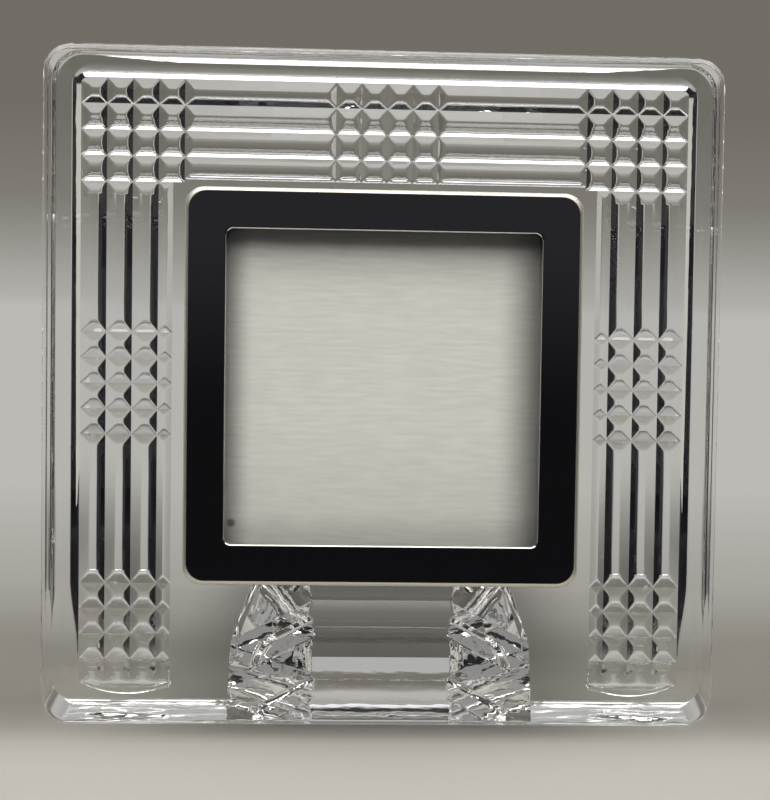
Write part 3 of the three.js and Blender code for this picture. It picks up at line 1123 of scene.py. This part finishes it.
def silicone_material():
    return grained_material("silicone", (0.7, 0.72, 0.71, 1), (0.8, 0.82, 0.81, 1),
                            roughness=0.4, depth=0.2, scale=200, detail=5.0)


def ribbon_material():
    """Satin weave with fine threads across the ribbon."""
    return grained_material("ribbon", (0.012, 0.014, 0.03, 1), (0.05, 0.055, 0.09, 1),
                            roughness=0.42, depth=0.3, scale=2400, detail=2.0, stretch=(0.15, 1, 1))


def velvet_material():
    """Short dark pile, laid in soft patches, paler at a glancing angle."""
    sheen = {"Sheen_Weight": 0.6, "Sheen_Roughness": 0.4, "Sheen_Tint": (0.35, 0.4, 0.6, 1)}
    made, tree, shader = material("velvet", Roughness=0.95, **sheen)
    pile = noise(tree, scale=2600, detail=2.0)
    patches = spread(tree, noise(tree, scale=90), low=0.3, high=1.3)
    lay = combine(tree, "MULTIPLY", spread(tree, pile, low=0.2, high=1.4), patches)
    paint(tree, shader, lay, (0.008, 0.010, 0.020, 1), (0.030, 0.034, 0.058, 1))
    bump(tree, shader, pile, strength=0.5, distance=0.00025)
    return made


def board_material(name, dark, pale, fibre_scale, stretch, roughness):
    """Pressed fibre board with flecks lying one way."""
    made, tree, shader = material(name, Roughness=roughness)
    fibre = noise(tree, fibre_scale, detail=7.0, stretch=stretch)
    cloud = spread(tree, noise(tree, fibre_scale / 8, detail=2.0), low=0.5, high=1.2)
    flecks = combine(tree, "MULTIPLY", spread(tree, fibre, low=0.0, high=1.6), cloud)
    paint(tree, shader, flecks, (*dark, 1), (*pale, 1))
    bump(tree, shader, fibre, strength=0.3, distance=0.0002)
    return made


# Finishing and placing pieces

def coat(piece, finish):
    piece.data.materials.clear()
    piece.data.materials.append(finish)


def dress(node_name, finish):
    coat(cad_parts[node_name], finish)


def place(piece, finish, body, slot, *nodes):
    """Finishes a new piece and puts it on its body in place of CAD nodes."""
    coat(piece, finish)
    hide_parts(*nodes)
    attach(piece, body)


# Floor and backdrop

def stage_sheet(name, vertices, faces):
    mesh = bpy.data.meshes.new(name)
    mesh.from_pydata(vertices, [], faces)
    sheet = bpy.data.objects.new(name, mesh)
    bpy.context.scene.collection.objects.link(sheet)
    return sheet


def floor_colour(tree, run, aside):
    """Painted shade towards the part, and a painted contact shadow where its front edge meets the floor."""
    floor_shade = ramp(tree, run, FLOOR_SHADE_START, FLOOR_SHADE_END)
    colour = mix_colours(tree, floor_shade, FLOOR_COLOUR, FLOOR_SHADE_COLOUR)
    front_edge = FRONT_Y * MM
    touch = combine(tree, "MULTIPLY", ramp(tree, aside, *CONTACT_HALF, CONTACT_DEPTH, CONTACT_ENDS),
                    ramp(tree, run, front_edge - CONTACT_REACH, front_edge))
    return mix_colours(tree, touch, colour, BLACK)


def backdrop_glow(tree, run, aside):
    """Painted soft shading behind the part, with a painted shadow on the floor behind the insert."""
    shades = node(tree, "ShaderNodeValToRGB")
    feed(tree, ramp(tree, run, SHADE_START, SHADE_END, shape="LINEAR"), shades.inputs["Fac"])
    elements = shades.color_ramp.elements
    for at_run, colour in SHADES:
        elements.new((at_run - SHADE_START) / (SHADE_END - SHADE_START)).color = colour
    elements.remove(elements[0])
    elements.remove(elements[-1])
    insert_shadow = combine(tree, "MULTIPLY", ramp(tree, aside, *SHADE_HALF, SHADE_DEPTH, 0.0),
                  ramp(tree, run, *SHADE_BEHIND, 1.0, 0.0))
    return glow(tree, shades.outputs["Color"], spread(tree, insert_shadow, low=1.0, high=0.0))


def unlit_share(tree, run, aside):
    """One past the table's front edge and beside the part's front, where the floor is painted dark for the
    part's glass and metal.
    """
    ahead = ramp(tree, run, TABLE_EDGE, TABLE_EDGE - TABLE_FADE, shape="LINEAR")
    beside = combine(tree, "MULTIPLY", ramp(tree, aside, SIDE_DARK_START, SIDE_DARK_END),
                     ramp(tree, run, 0.0, SIDE_DARK_BACK, 1.0, 0.0))
    return combine(tree, "MAXIMUM", ahead, beside)


def sweep_material():
    """Lit by the lamps in front; behind, it glows with painted shading."""
    made, tree, shader = material("sweep", Roughness=0.9)
    run = node(tree, "ShaderNodeAttribute", attribute_name="run").outputs["Fac"]
    across = node(tree, "ShaderNodeMath", operation="ABSOLUTE")
    feed(tree, axis_value(tree, "X"), across.inputs[0])
    aside = across.outputs["Value"]
    feed(tree, floor_colour(tree, run, aside), shader.inputs["Base Color"])
    in_part = seen_in_part(tree)
    seen = combine(tree, "MAXIMUM", ray_kind(tree, "Is Camera Ray"), in_part)
    behind = ramp(tree, run, SHADE_START, SHADE_FULL, shape="LINEAR")
    lit = mix_shaders(tree, combine(tree, "MULTIPLY", behind, seen), shader.outputs["BSDF"],
                      backdrop_glow(tree, run, aside))
    dark = node(tree, "ShaderNodeBsdfDiffuse", Color=ROOM_COLOUR).outputs["BSDF"]
    unlit = combine(tree, "MULTIPLY", unlit_share(tree, run, aside), in_part)
    show(tree, mix_shaders(tree, unlit, lit, dark))
    return made


def sweep():
    """A pale floor that curves up into a backdrop."""
    path = [(FLOOR_FRONT, FLOOR_LEVEL), (SHADE_START, FLOOR_LEVEL), (FLOOR_BACK, FLOOR_LEVEL)]
    for angle in quarter_turn(SWEEP_STEPS)[1:]:
        path.append((FLOOR_BACK + SWEEP_RADIUS * sin(angle), FLOOR_LEVEL + SWEEP_RADIUS * (1 - cos(angle))))
    path.append((FLOOR_BACK + SWEEP_RADIUS, BACKDROP_TOP))
    vertices = []
    runs = []
    run = FLOOR_FRONT
    for i, (y, z) in enumerate(path):
        if i:
            run += dist(path[i - 1], path[i])
        vertices += [(-FLOOR_HALF, y, z), (FLOOR_HALF, y, z)]
        runs += [run, run]
    faces = [(2 * i, 2 * i + 1, 2 * i + 3, 2 * i + 2) for i in range(len(path) - 1)]
    sheet = stage_sheet("sweep", vertices, faces)
    sheet.data.shade_smooth()
    mark_points(sheet, "run", runs)
    sheet.data.materials.append(sweep_material())


# Cards, lamps and room

def stage_card(name, low, high, **values):
    """A flat card between opposite corners; gives its material's nodes and plain shader."""
    first, second = [axis for axis in range(3) if low[axis] != high[axis]]
    corners = []
    for far_axes in ((), (first,), (first, second), (second,)):
        corners.append([(high if axis in far_axes else low)[axis] for axis in range(3)])
    card = stage_sheet(name, corners, [(0, 1, 2, 3)])
    made, tree, shader = material(name, **values)
    card.data.materials.append(made)
    return tree, shader.outputs["BSDF"]


def side_card(name, side):
    """A pale upright card beside the part; in the part's glass and metal it glows as a painted reflection,
    fading towards its top.
    """
    x = side * CARD_X
    tree, plain = stage_card(name, (x, CARD_FRONT, FLOOR_LEVEL), (x, CARD_BACK, CARD_TOP),
                             Base_Color=CARD_COLOUR, Roughness=0.9)
    fade = ramp(tree, axis_value(tree, "Z"), CARD_TOP - CARD_FADE, CARD_TOP, 1.0, CARD_LEAST)
    show(tree, mix_shaders(tree, seen_in_part(tree), plain, glow(tree, CARD_COLOUR, fade)))


def front_card():
    """A dark card behind the camera that glows as a painted reflection, brighter towards its top; the crystal
    draws a painted mid grey from it.
    """
    tree = stage_card("front_card", *ROOM_CARD)[0]
    strength = ramp(tree, axis_value(tree, "Z"), ROOM_LOW, ROOM_HIGH, *ROOM_STRENGTHS)
    show(tree, mix_shaders(tree, ray_kind(tree, "Is Transmission Ray"), glow(tree, ROOM_COLOUR, strength),
                           glow(tree, ROOM_THROUGH_GLASS)))


def rear_strip():
    """A pale strip high behind the part, seen only in its glass and metal, where it glows white as painted
    light.
    """
    tree = stage_card("rear_strip", *REAR_STRIP)[0]
    clear = node(tree, "ShaderNodeBsdfTransparent").outputs["BSDF"]
    show(tree, mix_shaders(tree, seen_in_part(tree), clear, glow(tree, WHITE)))


def lamp(name, at_place, aim, width, height, power):
    light = bpy.data.lights.new(name, "AREA")
    light.shape = "RECTANGLE"
    light.size = width
    light.size_y = height
    light.energy = power
    light.color = LAMP_COLOUR
    holder = bpy.data.objects.new(name, light)
    holder.location = at_place
    holder.rotation_euler = (Vector(aim) - Vector(at_place)).to_track_quat("-Z", "Y").to_euler()
    bpy.context.scene.collection.objects.link(holder)


def room():
    made = bpy.data.worlds.new("room")
    made.use_nodes = True
    set_inputs(made.node_tree.nodes["Background"], {"Color": ROOM_COLOUR, "Strength": 1.0})
    bpy.context.scene.world = made


# Camera

def camera():
    """The photograph's viewpoint, stepped aside with a shifted lens."""
    data = bpy.data.cameras.new("camera")
    data.sensor_fit = "HORIZONTAL"
    data.sensor_width = SENSOR_WIDTH
    data.lens = FOCAL_PIXELS * SENSOR_WIDTH / PHOTO_WIDTH
    data.clip_start = CLIP_START
    data.shift_x = CAMERA_SIDESTEP / CAMERA_U * FOCAL_PIXELS / PHOTO_WIDTH
    view = bpy.data.objects.new("camera", data)
    turn = (Matrix.Rotation(CAMERA_YAW, 3, "Z") @ Matrix.Rotation(CAMERA_PITCH, 3, "X")
            @ Matrix.Rotation(CAMERA_ROLL, 3, "Y"))
    level = Matrix.Rotation(pi / 2, 3, "X")
    lean = slab_matrix()
    sideways = turn @ Vector((CAMERA_SIDESTEP, 0, 0))
    spot = lean @ (Vector((CAMERA_X, CAMERA_U, CAMERA_S)) + sideways) * MM
    view.matrix_world = Matrix.Translation(spot) @ (lean.to_3x3() @ turn @ level).to_4x4()
    bpy.context.scene.collection.objects.link(view)
    bpy.context.scene.camera = view


# Pieces

PLATED = plated_material()
place(crystal_body(), crystal_material(), "crystal_frame", "crystal", "crystal_body")
place(bezel_ring(), PLATED, "crystal_frame", "plated_metal", "bezel")
dress("sleeve", PLATED)
SILICONE = silicone_material()
for strip_side in ("top", "left", "bottom", "right"):
    dress(f"bond_strip_{strip_side}", SILICONE)
dress("glazing_pane", pane_material())
dress("photo_card", paper_material())
WHITE_CARD = board_material("white_card", (0.68, 0.66, 0.61), (0.82, 0.80, 0.75), 1200, (0.5, 1, 1), 0.9)
dress("backing_card", WHITE_CARD)
KRAFT = board_material("kraft_board", (0.27, 0.18, 0.095), (0.46, 0.33, 0.19), 900, (0.25, 1, 1), 0.9)
place(filler_board(), KRAFT, "filler", "kraft_board", "filler_board")
HARDBOARD = board_material("hardboard", (0.07, 0.038, 0.018), (0.18, 0.105, 0.055), 1500, (1, 1, 1), 0.8)
dress("back_board", HARDBOARD)

panel = velvet_panel()
place(panel, velvet_material(), "back_panel", "velvet", "back_velvet")

loop = ribbon_loop()
place(loop, ribbon_material(), "back_panel", "ribbon", "pull_ribbon")


# Stage and view

sweep()
side_card("left_card", -1)
side_card("right_card", 1)
front_card()
rear_strip()
for lamp_name, lamp_values in LAMPS.items():
    lamp(lamp_name, *lamp_values)
room()
camera()

settings = bpy.context.scene
settings.view_settings.view_transform = "Standard"
settings.cycles.max_bounces = 24
settings.cycles.transmission_bounces = 24
settings.cycles.glossy_bounces = 12
